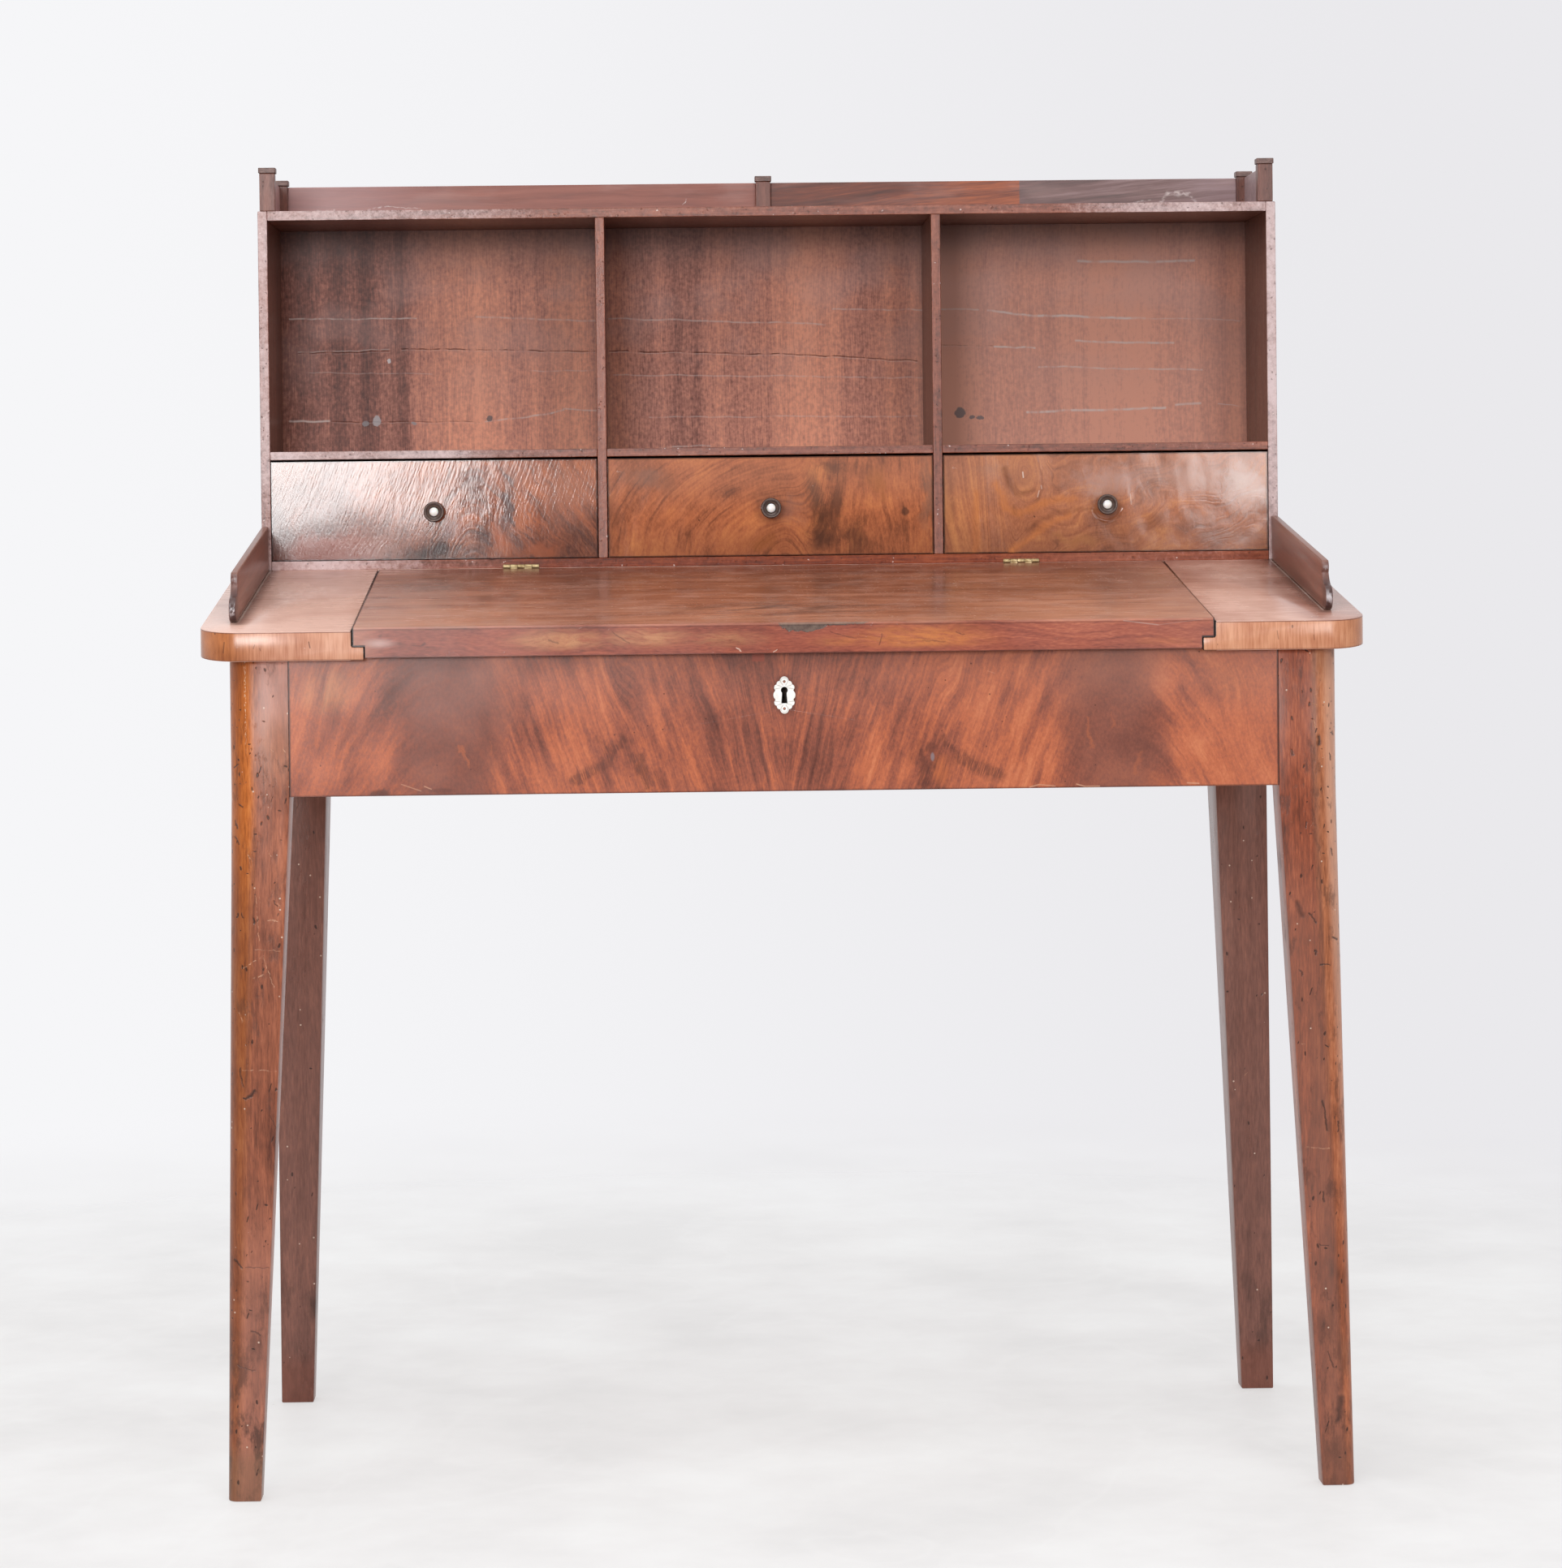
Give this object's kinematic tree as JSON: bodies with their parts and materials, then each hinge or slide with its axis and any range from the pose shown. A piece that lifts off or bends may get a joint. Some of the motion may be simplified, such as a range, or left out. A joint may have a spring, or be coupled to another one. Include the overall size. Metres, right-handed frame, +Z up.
{
  "type": "bonheur du jour",
  "caption": "Ladies' writing desk on tapered legs, with a sloping lift-up lid over a well and an upper case of open compartments above drawers, with a low gallery.",
  "frame": {"origin": "on the floor, at the middle of the plan", "axes": "+Z up, the front with the keyhole faces -Y, +X to the right of someone sitting at it"},
  "size_m": [1.02, 0.576, 1.1976],
  "materials": {
    "flame_veneer": "french polished flame mahogany veneer",
    "lid_veneer": "worn polish on mahogany",
    "top_wood": "worn polish on mahogany",
    "back_veneer": "polished mahogany veneer",
    "leg_wood": "polished solid mahogany",
    "case_wood": "polished solid mahogany",
    "pine": "bare softwood",
    "brass": "aged brass",
    "screw_brass": "aged brass",
    "iron": "dark iron",
    "bone": "polished bone",
    "pin_copper": "aged copper alloy",
    "horn": "turned and polished dark horn"
  },
  "bodies": {
    "desk": {"apron_back": "case_wood", "apron_front": "flame_veneer", "apron_side_left": "case_wood", "apron_side_right": "case_wood", "case_back": "back_veneer", "case_bottom": "case_wood", "case_side_left": "case_wood", "case_side_right": "case_wood", "case_top": "case_wood", "divider_left": "case_wood", "divider_right": "case_wood", "drawer_stops": "pine", "escutcheon": "bone", "escutcheon_pins": "pin_copper", "gallery_back_rails": "case_wood", "gallery_caps": "case_wood", "gallery_posts": "case_wood", "gallery_side_rails": "case_wood", "hinge_leaves_fixed": "brass", "hinge_pins": "brass", "hinge_screws_fixed": "screw_brass", "leg_front_left": "leg_wood", "leg_front_right": "leg_wood", "leg_rear_left": "leg_wood", "leg_rear_right": "leg_wood", "lock_case": "iron", "shelf_left": "case_wood", "shelf_middle": "case_wood", "shelf_right": "case_wood", "top_board_left": "top_wood", "top_board_rear": "top_wood", "top_board_right": "top_wood", "well_cleats": "pine", "well_floor": "pine", "wing_left": "case_wood", "wing_right": "case_wood"},
    "lid": {"writing_lid": "lid_veneer", "hinge_leaves_lid": "brass", "hinge_screws_lid": "screw_brass", "lock_strike": "brass"},
    "drawer_left": {"drawer_left_back": "pine", "drawer_left_floor": "pine", "drawer_left_front": "flame_veneer", "drawer_left_knob": "horn", "drawer_left_knob_dot": "bone", "drawer_left_sides": "pine"},
    "drawer_middle": {"drawer_middle_back": "pine", "drawer_middle_floor": "pine", "drawer_middle_front": "flame_veneer", "drawer_middle_knob": "horn", "drawer_middle_knob_dot": "bone", "drawer_middle_sides": "pine"},
    "drawer_right": {"drawer_right_back": "pine", "drawer_right_floor": "pine", "drawer_right_front": "flame_veneer", "drawer_right_knob": "horn", "drawer_right_knob_dot": "bone", "drawer_right_sides": "pine"},
    "bolt": {"lock_bolt": "iron"}
  },
  "joints": [
    {"name": "lid_hinge", "type": "hinge", "parent": "desk", "child": "lid", "pos_m": [0, 0.1125, 0.814], "axis": [1, 0, 0], "range_deg": [-75, 0]},
    {"name": "drawer_left_slide", "type": "slide", "parent": "desk", "child": "drawer_left", "axis": [0, -1, 0], "range_m": [0, 0.125]},
    {"name": "drawer_middle_slide", "type": "slide", "parent": "desk", "child": "drawer_middle", "axis": [0, -1, 0], "range_m": [0, 0.125]},
    {"name": "drawer_right_slide", "type": "slide", "parent": "desk", "child": "drawer_right", "axis": [0, -1, 0], "range_m": [0, 0.125]},
    {"name": "lock_bolt_slide", "type": "slide", "parent": "desk", "child": "bolt", "axis": [0, 0, 1], "range_m": [0, 0.008]}
  ]
}
